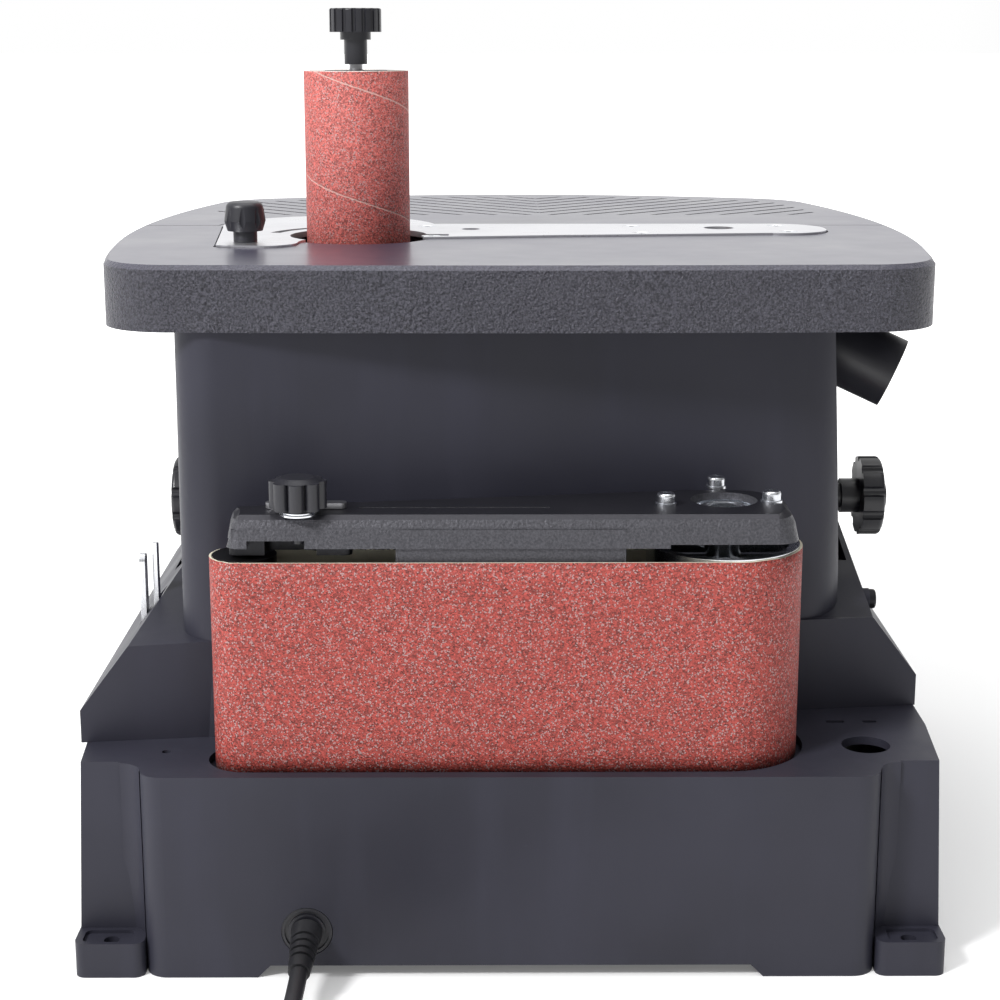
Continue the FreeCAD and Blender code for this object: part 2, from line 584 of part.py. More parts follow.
parts["motor_case"] = make_motor_case()
parts["motor_bearings"] = Part.makeCompound([
    make_bearing(MOTOR_X, MOTOR_Y, MOTOR_Z0 - 1.2, 11.25, 4.0, 7),
    make_bearing(MOTOR_X, MOTOR_Y, MOTOR_Z1 - 7, 11.25, 4.0, 7)])


def make_rotor():
    x, y = MOTOR_X, MOTOR_Y
    shaft = cyl(3.96, (x, y, PULLEY_Z - 6), MOTOR_Z1 + 4 - PULLEY_Z + 6)
    core = cyl(22, (x, y, MOTOR_Z0 + 28), 48)
    slots = [turned(box(x + 15, x + 24, y - 1.6, y + 1.6, MOTOR_Z0 + 27, MOTOR_Z0 + 77),
                    k * 30, (x, y, 0)) for k in range(12)]
    commutator = cyl(12, (x, y, MOTOR_Z0 + 86), 16)
    return fuse([shaft, core.cut(Part.makeCompound(slots)), commutator])


def make_fan():
    x, y = MOTOR_X, MOTOR_Y
    z = MOTOR_Z0 + 9
    hub = tube(8, 4.0, (x, y, z), 12)
    disc = tube(36, 7.5, (x, y, z), 2)
    blades = [turned(box(x + 12, x + 35, y - 0.9, y + 0.9, z + 1.5, z + 12), k * 36, (x, y, 0))
              for k in range(10)]
    return fuse([hub, disc, *blades])


def make_stator():
    x, y = MOTOR_X, MOTOR_Y
    ring = tube(MOTOR_R - 3, 30, (x, y, MOTOR_Z0 + 26), 52)
    poles = [turned(box(x + 22.7, x + 31, y - 16, y + 16, MOTOR_Z0 + 26, MOTOR_Z0 + 78), a, (x, y, 0))
             for a in (0, 180)]
    poles = [p.cut(cyl(22.7, (x, y, MOTOR_Z0), 100)) for p in poles]
    return fuse([ring, *poles])


def grooved(r, bore, z, h, x, y, grooves=6):
    """A poly-V pulley with a rim at each end."""
    wheel = tube(r, bore, (x, y, z), h)
    rings = []
    pitch = (h - 4) / grooves
    for k in range(grooves):
        zc = z + 2 + pitch * (k + 0.5)
        rings.append(cone(r + 0.2, r - 1.5, (x, y, zc - 1.0), 1.0).fuse(
            cone(r - 1.5, r + 0.2, (x, y, zc), 1.0)))
    ring_cut = [cyl(r + 1, (x, y, z + 2 + pitch * (k + 0.5) - 1), 2).cut(rings[k])
                for k in range(grooves)]
    return cut(wheel, *ring_cut)


parts["motor_rotor"] = make_rotor()
parts["motor_stator"] = make_stator()
parts["motor_fan"] = make_fan()
parts["motor_pulley"] = grooved(MOTOR_PULLEY_R, 3.96, PULLEY_Z, PULLEY_H, MOTOR_X, MOTOR_Y)


def make_spindle_pulley():
    """The driven pulley: a splined sleeve runs up through the bracket and drives the spindle."""
    x, y = SPINDLE_X, SPINDLE_Y
    wheel = grooved(SPINDLE_PULLEY_R, SLEEVE_BORE, PULLEY_Z, PULLEY_H, x, y)
    holes = [turned(cyl(6.5, (x + 22, y, PULLEY_Z - 1), 20), k * 60, (x, y, 0)) for k in range(6)]
    sleeve = tube(11.0, SLEEVE_BORE, (x, y, PULLEY_Z - 4), 176 - PULLEY_Z + 4)
    collar = tube(14.0, 10.5, (x, y, PULLEY_Z + PULLEY_H), 3.5)
    threads = []
    for k in range(6):
        z = 150 + 4.0 * k
        threads.append(cone(10.9, 12.4, (x, y, z), 1.4).fuse(cone(12.4, 10.9, (x, y, z + 1.4), 1.4)).cut(
            cyl(10.8, (x, y, z - 1), 6)))
    return fuse([cut(wheel, *holes), sleeve, collar, *threads])


parts["spindle_pulley"] = make_spindle_pulley()


def make_drive_belt():
    """A ribbed belt, open-loop round both pulleys, just clear of their ribs."""
    gap, thick = 0.15, 3.0
    x0, y0, r0 = SPINDLE_X, SPINDLE_Y, SPINDLE_PULLEY_R + gap
    x1, r1 = MOTOR_X, MOTOR_PULLEY_R + gap
    lean = math.asin((r0 - r1) / (x1 - x0))

    def loop(grow):
        s, c = math.sin(lean), math.cos(lean)
        a, b = r0 + grow, r1 + grow
        return [(x0 + a * s, y0 + a * c), (x1 + b * s, y0 + b * c),
                ("arc", (x1 + b, y0), (x1 + b * s, y0 - b * c)),
                (x0 + a * s, y0 - a * c), ("arc", (x0 - a, y0), (x0 + a * s, y0 + a * c))]

    z0, z1 = PULLEY_Z + 2.2, PULLEY_Z + PULLEY_H - 2.2
    return prism(loop(thick), z0, z1).cut(prism(loop(0), z0 - 1, z1 + 1))


parts["drive_belt"] = make_drive_belt()


# ---- spindle: bracket, bushes, lift gear, shaft and drum ----
BRACKET_TOP = TABLE_Z - PLATE
WORM_R, WHEEL_R = 12.4, 13.6
WHEEL_Y, WHEEL_Z = SPINDLE_Y - WORM_R - WHEEL_R - 0.2, 162.0
CRANK = STROKE / 2
ROD_X = SPINDLE_X + 12.1


def make_spindle_bracket():
    """A casting hung from the rear table, holding the spindle's lower and upper bushes."""
    x, y = SPINDLE_X, SPINDLE_Y
    lower = tube(19, 15.0, (x, y, 132), 14).fuse(box(x - 18, x + 18, y - 60, y - 16, 132, 140))
    upper = tube(17, 12.0, (x, y, 252), 30).fuse(box(x - 16, x + 16, y - 60, y - 14, 254, 268))
    back = box(x - 26, x + 26, y - 64, y - 56, 132, 268)
    window = box(x - 14, x + 14, y - 70, y - 50, 178, 236)
    legs = [box(x + s * 52 - 7, x + s * 52 + 7, y - 64, y - 50, 252, BRACKET_TOP) for s in (-1, 1)]
    bridge = box(x - 59, x + 59, y - 64, y - 56, 252, 268)
    arm = box(x - 22, x - 14, y - 60, WHEEL_Y + 7, WHEEL_Z - 7, WHEEL_Z + 7)
    axle = cyl(3.0, (x - 15, WHEEL_Y, WHEEL_Z), 20, X_AXIS)
    shape = fuse([lower, upper, back.cut(window), *legs, bridge, arm, axle])
    return cut(shape, cyl(15.0, (x, y, 131), 16), cyl(12.0, (x, y, 250), 40))


parts["spindle_bracket"] = make_spindle_bracket()
parts["spindle_bushes"] = Part.makeCompound([
    tube(15.0, 11.04, (SPINDLE_X, SPINDLE_Y, 132), 14),
    tube(12.0, SHAFT_R + 0.04, (SPINDLE_X, SPINDLE_Y, 252), 30)])


def make_lift_wheel():
    """The worm wheel, with the crank pin that lifts the spindle once a turn."""
    x = SPINDLE_X - 4
    wheel = tube(WHEEL_R, 3.04, (x, WHEEL_Y, WHEEL_Z), 8, X_AXIS)
    gaps = []
    for k in range(24):
        a = 2 * math.pi * k / 24
        gaps.append(cyl(0.9, (x - 1, WHEEL_Y + WHEEL_R * math.cos(a), WHEEL_Z + WHEEL_R * math.sin(a)),
                        10, X_AXIS))
    disc = cyl(14.0, (x + 8, WHEEL_Y, WHEEL_Z), 3, X_AXIS)
    disc = disc.cut(cyl(3.04, (x, WHEEL_Y, WHEEL_Z), 10, X_AXIS))
    crank = cyl(2.5, (x + 10, WHEEL_Y, WHEEL_Z - CRANK), ROD_X - x - 10 - 0.4, X_AXIS)
    return fuse([wheel.cut(Part.makeCompound(gaps)), disc, crank])


def make_lift_yoke():
    """The connecting rod and the fork that sits in the groove of the spindle."""
    x, y = SPINDLE_X, SPINDLE_Y
    rod = rounded(ROD_X, ROD_X + 4, WHEEL_Y - 4, WHEEL_Y + 4, 1.5, WHEEL_Z - CRANK - 5, 201)
    eye = cyl(6.5, (ROD_X, WHEEL_Y, WHEEL_Z - CRANK), 4, X_AXIS)
    fork = box(x - 15, ROD_X + 4, WHEEL_Y - 4, y + 5, 194.3, 200.7)
    fork = fork.cut(box(x - 9.3, x + 9.3, y, y + 20, 190, 205))
    shape = fuse([rod, eye, fork])
    return cut(shape, cyl(9.3, (x, y, 190), 20), cyl(2.9, (ROD_X - 1, WHEEL_Y, WHEEL_Z - CRANK), 6, X_AXIS))


parts["lift_wheel"] = make_lift_wheel()
parts["lift_yoke"] = make_lift_yoke()


def make_spindle_shaft():
    """The spindle with its thrust collar, drum seat and threaded top."""
    x, y = SPINDLE_X, SPINDLE_Y
    shaft = cyl(SHAFT_R, (x, y, 84), DRUM_Z - 3 - 84)
    seat = cyl(13, (x, y, DRUM_Z - 3), 3)
    stem = cyl(SHAFT_R, (x, y, DRUM_Z - 0.5), DRUM_H - 1.4)
    thread = cyl(3.4, (x, y, DRUM_Z + DRUM_H - 3), 23)
    lift_groove = [cyl(13.5, (x, y, 190), 4), cyl(13.5, (x, y, 201), 4), cyl(9, (x, y, 190), 15)]
    return fuse([shaft, seat, stem, thread, *lift_groove])


parts["spindle_shaft"] = make_spindle_shaft()


def make_rubber_drum():
    x, y = SPINDLE_X, SPINDLE_Y
    return tube(DRUM_R, SHAFT_R + 0.02, (x, y, DRUM_Z + 0.1), DRUM_H - 1.6)


parts["rubber_drum"] = make_rubber_drum()
parts["sanding_sleeve"] = tube(SLEEVE_R, DRUM_R, (SPINDLE_X, SPINDLE_Y, DRUM_Z), DRUM_H)
parts["drum_washer"] = tube(16.0, 3.5, (SPINDLE_X, SPINDLE_Y, DRUM_Z + DRUM_H - 1.4), 1.3)


def make_drum_knob():
    """The fluted nut that squeezes the drum, on a stepped neck."""
    x, y = SPINDLE_X, SPINDLE_Y
    z = 414.0
    head = moved(fluted(13.2, 11.8, 16, 1.3, 1.0), x, y, z + 16.0)
    neck = fuse([cyl(5.9, (x, y, z), 12.5), cyl(7.8, (x, y, z + 12.2), 4.0)])
    return fuse([head, neck]).cut(cyl(3.42, (x, y, z - 1), 20))


parts["drum_knob"] = make_drum_knob()


# ---- dust port: a duct through the right wall, sloping down and out ----
PORT_BORE, PORT_WALL, PORT_LENGTH = 16.0, 2.0, 60.0
PORT_DIRECTION = FreeCAD.Rotation(Y_AXIS, PORT_TILT).multVec(V(1, -0.2, 0)).normalize()
PORT_START = V(*PORT_END) - PORT_DIRECTION * PORT_LENGTH


def make_dust_port():
    r, way = PORT_BORE + PORT_WALL, PORT_DIRECTION
    pipe = Part.makeCylinder(r, PORT_LENGTH, PORT_START, way)
    lip = Part.makeCylinder(r + 1.6, 4, PORT_START + way * 8, way)
    hole = Part.makeCylinder(PORT_BORE, 80, PORT_START - way * 5, way)
    return fuse([pipe, lip]).cut(hole)


parts["dust_port"] = make_dust_port()


# ---- switch on the operator side ----
def make_switch_box():
    y = BODY_BACK_Y
    plate = rounded(-36, 36, -30, 30, 6, 0, 3)
    plate.rotate(V(0, 0, 0), X_AXIS, 90)
    plate.translate(V(0, y + 3, 148))
    well = box(-30, 30, y - 24, y + 0.5, 126, 170).cut(box(-27, 27, y - 21, y + 1, 129, 167))
    shape = fuse([plate, well])
    return cut(shape, box(-26, -1.5, y - 22, y + 5, 135, 161), box(1.5, 26, y - 22, y + 5, 135, 161))


def make_button(x0, colour_side):
    """A push button with a wide skirt behind the plate so that it can't fall out."""
    y = BODY_BACK_Y
    cap = box(x0 + 0.4, x0 + 24.1, y - 9, y + 3 + 4.5 + colour_side, 135.4, 160.6)
    skirt = box(x0 - 0.6, x0 + 25.0, y - 9, y - 6, 133.5, 162.5)
    return fuse([cap, skirt])


parts["switch_box"] = make_switch_box()
parts["on_button"] = make_button(-26, 0)
parts["off_button"] = make_button(1.5, 1.5)


# ---- belt arm, stored upright in the ledge: casting, rollers, platen, tension and tracking ----
def arm_outline(inset):
    """Plan outline of the arm: narrow at the idler, wide round the drive roller."""
    i = inset
    front = ARM_FRONT + 2.0 + i
    return [(-123, front), (121, front), ("arc", (129 - i, front + 4), (131.6 - i, front + 12)),
            (131.6 - i, -154), ("arc", (124 - i * 0.7, -138 - i * 0.7), (106, -130 - i)),
            (84, -130 - i), (-122, -162 - i), ("arc", (-128 + i * 0.7, -166 - i * 0.4), (-130 + i, -173)),
            (-129 + i, front + 7), ("arc", (-127 + i * 0.7, front + 2), (-123, front))]


ARM_SCREWS = ((71.6, -166.0), (98.6, -130.5), (120.9, -161.4))


def make_arm_casting():
    # the sides lean in and round over into the top
    sections = ((0.0, ARM_Z0), (2.0, ARM_TOP - 5.0), (3.4, ARM_TOP - 1.8), (6.0, ARM_TOP))
    outer = [drafted(arm_outline, a, b, z0, z1) for (a, z0), (b, z1) in zip(sections, sections[1:])]
    cap = fuse(outer)
    hollow = prism(arm_outline(4), ARM_Z0 - 1, 211)
    boss = cyl(30, (ROLLER_X, ROLLER_Y, ARM_Z0), 10).common(prism(arm_outline(1), 200, 216))
    web = box(-52, 52, ARM_FRONT + 3.2, -172, 99, 212)
    rib = prism([(-40, -173), (40, -173), (40, -148), (-40, -159)], 120, 212)
    rib = rib.cut(box(-34, 34, -170, -140, 110, 207))
    rails = [box(-126, -66, y, y + 3.0, ARM_Z0, 212) for y in (-189.0, -168.4)]
    shape = fuse([cap.cut(hollow), boss, web, rib, *rails])
    # the skirt is cut away over both rollers
    scallops = [box(-119, -93, -200, -184, 190, 207), box(72, 140, -200, -150, 190, 205.2)]
    # a window in the end wall lets the idler carriage reach out
    scallops.append(box(-131, -120, -186.6, -168.0, 200, 207.4))
    scallops.append(cyl(7.3, (LEVER_X, LEVER_Y, 207.2), 3.7))
    tools = [cyl(15.5, (ROLLER_X, ROLLER_Y, 206.8), 20), cyl(13.5, (ROLLER_X, ROLLER_Y, 200), 10),
             cyl(3.3, (TRACK_X, TRACK_Y, 205), 20), cyl(3.05, (LEVER_X, LEVER_Y, 205), 20),
             rounded(-70, 18, -172.2, -170.4, 0.8, ARM_TOP - 1.0, ARM_TOP + 1)]
    tools += [cyl(2.1, (x, y, 206), 20) for x, y in ARM_SCREWS]
    return cut(shape, *scallops, *tools)


parts["belt_arm"] = make_arm_casting()
parts["arm_screws"] = Part.makeCompound([
    fuse([screw((x, y, ARM_TOP + 1.2), 4.3, 4.6, 2.0, 11), tube(5.0, 2.1, (x, y, ARM_TOP), 1.2)])
    for x, y in ARM_SCREWS])
parts["arm_bearing"] = make_bearing(ROLLER_X, ROLLER_Y, 206.8, 15.46, 8.54, 8.2)


def make_drive_roller():
    """Crowned rubber-faced roller with a bored hub that slips over a spindle."""
    x, y, z = ROLLER_X, ROLLER_Y, BELT_Z - 0.3
    h = BELT_W + 1.0
    rim = tube(ROLLER_R - ROLLER_GAP, ROLLER_R - 5, (x, y, z), h)
    hub = tube(8.5, 6.15, (x, y, z), 214.8 - z)
    web = tube(ROLLER_R - 4, 8, (x, y, z + h / 2 - 3), 6)
    ribs = [turned(box(x + 8, x + ROLLER_R - 4, y - 1.5, y + 1.5, z + 6, z + h - 6), k * 60, (x, y, 0))
            for k in range(6)]
    collar = tube(10.2, 8, (x, y, z + h), 205.0 - z - h)
    return fuse([rim, hub, web, *ribs, collar])


parts["drive_roller"] = make_drive_roller()
parts["idler_roller"] = fuse([
    tube(IDLER_R - ROLLER_GAP, 8.0, (IDLER_X, IDLER_Y, BELT_Z - 0.3), BELT_W + 0.6),
    tube(8.5, 4.03, (IDLER_X, IDLER_Y, BELT_Z - 0.3), 12),
    tube(8.5, 4.03, (IDLER_X, IDLER_Y, BELT_Z + BELT_W - 11.7), 12)])
CARRIAGE_Y0, CARRIAGE_Y1 = -185.8, -168.8
parts["idler_carriage"] = fuse([
    rounded(IDLER_X - 6, -72, CARRIAGE_Y0, CARRIAGE_Y1, 3, 199.3, 207.0)]).cut(
        rounded(-111.5, -88, -190, -176, 4.5, 190, 212)).cut(
            cyl(4.0, (IDLER_X, IDLER_Y, 190), 30))
parts["idler_axle"] = fuse([cyl(4.0, (IDLER_X, IDLER_Y, 95.1), 111.7),
                            cyl(6.5, (IDLER_X, IDLER_Y, 95.1), 0.4)])


def coil_spring(r, wire_r, pitch, turns, place, axis):
    helix = Part.makeHelix(pitch, pitch * turns, r)
    section = Part.Wire(Part.makeCircle(wire_r, V(r, 0, 0), V(0, 1, 0)))
    spring = Part.Wire(helix).makePipeShell([section], True, True)
    spring.Placement = FreeCAD.Placement(V(*place), FreeCAD.Rotation(Z_AXIS, axis))
    return spring


parts["tension_spring"] = coil_spring(3.4, 0.6, 2.6, 7, (-71.3, -177, 203.6), X_AXIS)
parts["spring_guide"] = cyl(2.4, (-72, -177, 203.6), 9.5, X_AXIS)


def make_tension_lever():
    """A flat lever on top of the arm; its shaft carries a cam inside."""
    x, y = LEVER_X, LEVER_Y
    bar = rounded(x - 4, x + 33, y - 3, y + 3, 2.9, ARM_TOP + 0.3, ARM_TOP + 2.9)
    shaft = cyl(3.0, (x, y, 207.4), ARM_TOP + 1 - 207.4)
    cam = cyl(5.5, (x + 1.5, y, 207.4), 3.2)
    return fuse([bar, shaft, cam])


parts["tension_lever"] = make_tension_lever()


def make_tracking_knob():
    """A star knob of eight lobes on a threaded stem."""
    core = cyl(9.0, (0, 0, 0), 12.5)
    lobes = [cyl(3.5, (9.6 * math.cos(k * math.pi / 4), 9.6 * math.sin(k * math.pi / 4), 0), 12.5)
             for k in range(8)]
    head = fuse([core, *lobes])
    crown = cone(11.0, 7.5, (0, 0, 12.5), 1.6)
    head = fuse([head, crown, cyl(5.5, (0, 0, -1.6), 2)])
    stem = cyl(3.0, (0, 0, -16.5), 17)
    return moved(fuse([head, stem]), TRACK_X, TRACK_Y, ARM_TOP + 3.2)


parts["tracking_knob"] = make_tracking_knob()
parts["tracking_washers"] = Part.makeCompound([
    tube(8.4, 3.35, (TRACK_X, TRACK_Y, ARM_TOP), 0.7),
    tube(7.2, 3.35, (TRACK_X, TRACK_Y, ARM_TOP + 0.75), 0.75)])
parts["platen"] = box(-92, 60, ARM_FRONT + BELT_T + 0.3, ARM_FRONT + 3.2, 98, 196)


def belt_loop(grow):
    """Outline of the belt's inner face, grown outwards."""
    a, b = IDLER_R + 0.05 + grow, ROLLER_R + 0.05 + grow
    lean = math.atan2(ROLLER_Y - IDLER_Y, ROLLER_X - IDLER_X)
    spread = math.asin((ROLLER_R - IDLER_R) / math.hypot(ROLLER_X - IDLER_X, ROLLER_Y - IDLER_Y))
    s, c = math.sin(lean + spread), math.cos(lean + spread)
    return [(IDLER_X, IDLER_Y - a), (ROLLER_X, ROLLER_Y - b),
            ("arc", (ROLLER_X + b, ROLLER_Y), (ROLLER_X - b * s, ROLLER_Y + b * c)),
            (IDLER_X - a * s, IDLER_Y + a * c), ("arc", (IDLER_X - a, IDLER_Y), (IDLER_X, IDLER_Y - a))]


parts["sanding_belt"] = prism(belt_loop(BELT_T), BELT_Z, BELT_Z + BELT_W).cut(
    prism(belt_loop(0), BELT_Z - 1, BELT_Z + BELT_W + 1))


# ---- tools kept on the left shoulder, and the screws ----
KEY_PLACE, SPANNER_PLACE = (-176.6, -94.0), (-182.6, -96.0)


def make_hex_key():
    x, y = KEY_PLACE
    hexagon = Part.Face(Part.makePolygon([
        V(x + 1.75 * math.cos(math.pi * k / 3), y + 1.75 * math.sin(math.pi * k / 3), 125)
        for k in range(7)]))
    leg = hexagon.extrude(V(0, 0, 57))
    foot = box(x - 1.5, x + 1.5, y - 0.5, y + 20, 125, 128.2)
    return fuse([leg, foot])


def make_spanner():
    """A thin open-ended spanner kept with its handle up."""
    x, y = SPANNER_PLACE
    shank = box(x - 1.4, x + 1.4, y - 4.0, y + 4.0, 128, 173)
    tip = cyl(4.0, (x - 1.4, y, 173), 2.8, X_AXIS)
    head = cyl(9.5, (x - 1.4, y, 126), 2.8, X_AXIS)
    jaw = box(x - 3, x + 3, y - 4.0, y + 4.0, 110, 126)
    return fuse([shank, tip, head]).cut(jaw)


parts["hex_key"] = make_hex_key()
parts["spanner"] = make_spanner()
key_hole = cyl(2.1, (KEY_PLACE[0], KEY_PLACE[1], 122), 60).fuse(
    box(KEY_PLACE[0] - 1.9, KEY_PLACE[0] + 1.9, KEY_PLACE[1], KEY_PLACE[1] + 20.5, 122, 182))
spanner_slot = box(SPANNER_PLACE[0] - 1.8, SPANNER_PLACE[0] + 1.8, SPANNER_PLACE[1] - 10,
                   SPANNER_PLACE[1] + 10, 116, 180)
holder = box(-188, -170, SPANNER_PLACE[1] - 13, SPANNER_PLACE[1] + 13, 113, 146).common(body_solid(0))
body = parts["body_housing"].fuse(holder)
parts["body_housing"] = cut(body, key_hole, spanner_slot)


BODY_SCREW_X, BODY_SCREW_Z = 184.5, 147.0
BODY_SCREW_YS = (-76.0, 64.0)


def make_body_screws():
    """Two screws in bosses on the slope of the right shoulder, their heads outwards."""
    return Part.makeCompound([
        screw((BODY_SCREW_X, y, BODY_SCREW_Z), 5.0, 3.4, 2.2, 9, X_AXIS) for y in BODY_SCREW_YS])


parts["body_screws"] = make_body_screws()


# ---- the body is cut away where other fixed pieces pass through it ----
rim_band = box(-300, 300, -300, 300, TABLE_Z - RIM, TABLE_Z).cut(
    prism(table_outline(9), TABLE_Z - RIM - 1, TABLE_Z + 1))
port_hole = Part.makeCylinder(PORT_BORE + PORT_WALL + 1.6, 80, PORT_START, PORT_DIRECTION)
webs = [box(x - 3.2, x + 3.2, -150, -90, TABLE_Z - 22.2, TABLE_Z) for x in WEB_PLACES]
screw_bosses = [cyl(5.5, (BODY_SCREW_X - 6, y, BODY_SCREW_Z), 6, X_AXIS) for y in BODY_SCREW_YS]
screw_holes = [cyl(r, (x, y, BODY_SCREW_Z), 12, X_AXIS) for y in BODY_SCREW_YS
               for r, x in ((2.2, BODY_SCREW_X - 9), (5.6, BODY_SCREW_X))]
parts["body_housing"] = fuse([parts["body_housing"], *screw_bosses])
# the quadrants swing in slots through the tops of the shoulders
swing = cyl(177, (168.4, SPLIT_Y, HINGE_Z), 9.4, X_AXIS).common(box(0, 200, -58, 400, 100, 400))
knob_notch = cyl(12, (168.4, LOCK_Y, LOCK_Z), 40, X_AXIS)
quadrant_slots = [swing, mirrored(swing), knob_notch]
parts["body_housing"] = cut(parts["body_housing"], *quadrant_slots)
parts["body_housing"] = cut(parts["body_housing"], rim_band, port_hole, *webs, *screw_holes,
                            parts["hinge_pin_left"], parts["hinge_pin_right"])


# ---- mains cord: gland, strain relief, free run, coil, tail and plug ----
GLAND = V(-94.8, -203.0, 22.8)
RELIEF_END = V(-95.9, -231.0, 16.3)
CORD_POINTS = [(-95.9, -231, 16.3), (-96.9, -247, 11.2), (-99.2, -265, 6.2), (-101.8, -286, 4.25),
               (-100.0, -318, 4.25)]
COIL_X, COIL_Y, COIL_R, COIL_HALF, COIL_H = -51.5, -351.0, 48.5, 12.5, 17.0
TAIL_POINTS = [(-38.0, -408.5, 12.4), (-20.0, -408.8, 10.5), (1.0, -406.0, 8.2), (18.0, -401.0, 11.0),
               (40.0, -400.5, 13.0)]
PLUG_X, PLUG_Y, PLUG_Z = 40.0, -400.5, 13.0


def cord_tube(points, radius):
    """A tube along straight runs joined by tangent arcs; prints each arc's radius."""
    p = [V(*q) for q in points]
    last, edges, length = p[0], [], 0.0
    for a, b, c in zip(p, p[1:], p[2:]):
        u, w = (b - a).normalize(), (c - b).normalize()
        turn = u.getAngle(w)
        bend = 0.45 * min((b - a).Length, (c - b).Length)
        arc_r = bend / math.tan(turn / 2)
        start, end = b - u * bend, b + w * bend
        middle = b + (w - u).normalize() * (arc_r / math.cos(turn / 2) - arc_r)
        edges += [Part.LineSegment(last, start).toShape(), Part.Arc(start, middle, end).toShape()]
        length += (start - last).Length + arc_r * turn
        print(f"cord turn {math.degrees(turn):.1f} deg, radius {arc_r:.0f} mm")
        last = end
    edges.append(Part.LineSegment(last, p[-1]).toShape())
    length += (p[-1] - last).Length
    ring = Part.Wire(Part.makeCircle(radius, p[0], p[1] - p[0]))
    shape = Part.Wire(edges).makePipeShell([ring], True, False)
    expected = math.pi * radius ** 2 * length
    print(f"cord length {length:.0f} mm, volume over section times length {shape.Volume / expected:.4f}")
    return shape


parts["cord_gland"] = cut(
    fuse([cyl(11.8, (GLAND.x, GLAND.y + 0.5, GLAND.z), 6, Y_AXIS),
          cyl(14.5, (GLAND.x, GLAND.y + 4.05, GLAND.z), 2.4, Y_AXIS)]),
    tube(10.4, 8.6, (GLAND.x, GLAND.y - 0.2, GLAND.z), 1.8, Y_AXIS))


def make_strain_relief():
    """A tapered rubber sleeve with ring grooves, from the gland out to the cord."""
    root = V(GLAND.x, GLAND.y + 0.45, GLAND.z)
    axis = RELIEF_END - root
    length = axis.Length
    sleeve = Part.makeCone(7.4, 5.1, length, root, axis)
    grooves = []
    for k in range(4):
        at = root + axis * ((8.0 + 4.4 * k) / length)
        ring = Part.makeCylinder(9, 1.6, at, axis).cut(Part.makeCylinder(5.6 - 0.35 * k, 1.6, at, axis))
        grooves.append(ring)
    body = sleeve.cut(Part.makeCompound(grooves))
    return body.cut(box(-130, -60, GLAND.y + 0.5, -190, 0, 60))


parts["strain_relief"] = make_strain_relief()
parts["cord"] = cord_tube(CORD_POINTS, CORD_R)
parts["cord_coil"] = tube(COIL_R + COIL_HALF, COIL_R - COIL_HALF, (COIL_X, COIL_Y, 0), COIL_H)
parts["cord_tail"] = cord_tube(TAIL_POINTS, CORD_R)


def make_plug():
    """A two-pin mains plug lying on its side."""
    x, y, z = PLUG_X, PLUG_Y, PLUG_Z
    neck = cone(5.4, 9.0, (x, y, z), 12, X_AXIS)
    grip = cone(9.0, 12.8, (x + 12, y, z), 8, X_AXIS)
    head = cyl(12.8, (x + 20, y, z), 18, X_AXIS)
    wings = box(x + 22, x + 37.9, y - 18, y + 18, z - 8, z + 8)
    pins = [cyl(2.4, (x + 37, y + s * 9.5, z), 20, X_AXIS) for s in (-1, 1)]
    return fuse([neck, grip, head, wings, *pins])


parts["mains_plug"] = make_plug()

os.makedirs("parts", exist_ok=True)
for name, shape in parts.items():
    if not shape.isValid():
        print("invalid:", name)
    shape.exportStep(f"parts/{name}.step")
    b = shape.BoundBox
    print(f"{name}: {len(shape.Solids)} solids, {shape.Volume / 1000:.1f} cm3,"
          f" x {b.XMin:.1f}..{b.XMax:.1f} y {b.YMin:.1f}..{b.YMax:.1f} z {b.ZMin:.1f}..{b.ZMax:.1f}")
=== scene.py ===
import bpy
import bmesh
import math
from mathutils import Euler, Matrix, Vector


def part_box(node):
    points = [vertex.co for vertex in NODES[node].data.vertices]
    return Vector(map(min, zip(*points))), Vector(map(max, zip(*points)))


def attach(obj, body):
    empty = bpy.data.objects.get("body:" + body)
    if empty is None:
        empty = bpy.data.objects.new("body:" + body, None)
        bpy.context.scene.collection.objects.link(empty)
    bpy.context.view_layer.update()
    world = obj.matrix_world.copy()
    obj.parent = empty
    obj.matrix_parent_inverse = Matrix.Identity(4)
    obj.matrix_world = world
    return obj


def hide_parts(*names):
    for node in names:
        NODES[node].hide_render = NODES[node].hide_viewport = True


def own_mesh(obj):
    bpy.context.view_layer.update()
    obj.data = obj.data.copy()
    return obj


# Oscillating belt and spindle sander: finishes, abrasives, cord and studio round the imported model.
# All lengths are in metres, in the model's own frame.

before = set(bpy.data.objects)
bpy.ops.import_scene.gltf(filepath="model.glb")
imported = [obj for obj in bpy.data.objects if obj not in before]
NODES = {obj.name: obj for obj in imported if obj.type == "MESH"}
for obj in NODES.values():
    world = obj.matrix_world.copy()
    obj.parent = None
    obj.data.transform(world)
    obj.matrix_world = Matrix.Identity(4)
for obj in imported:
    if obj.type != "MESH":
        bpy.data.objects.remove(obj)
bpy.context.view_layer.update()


def span(node):
    """Lowest corner, highest corner and middle of a CAD node."""
    low, high = (Vector(p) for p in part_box(node))
    return low, high, (low + high) / 2


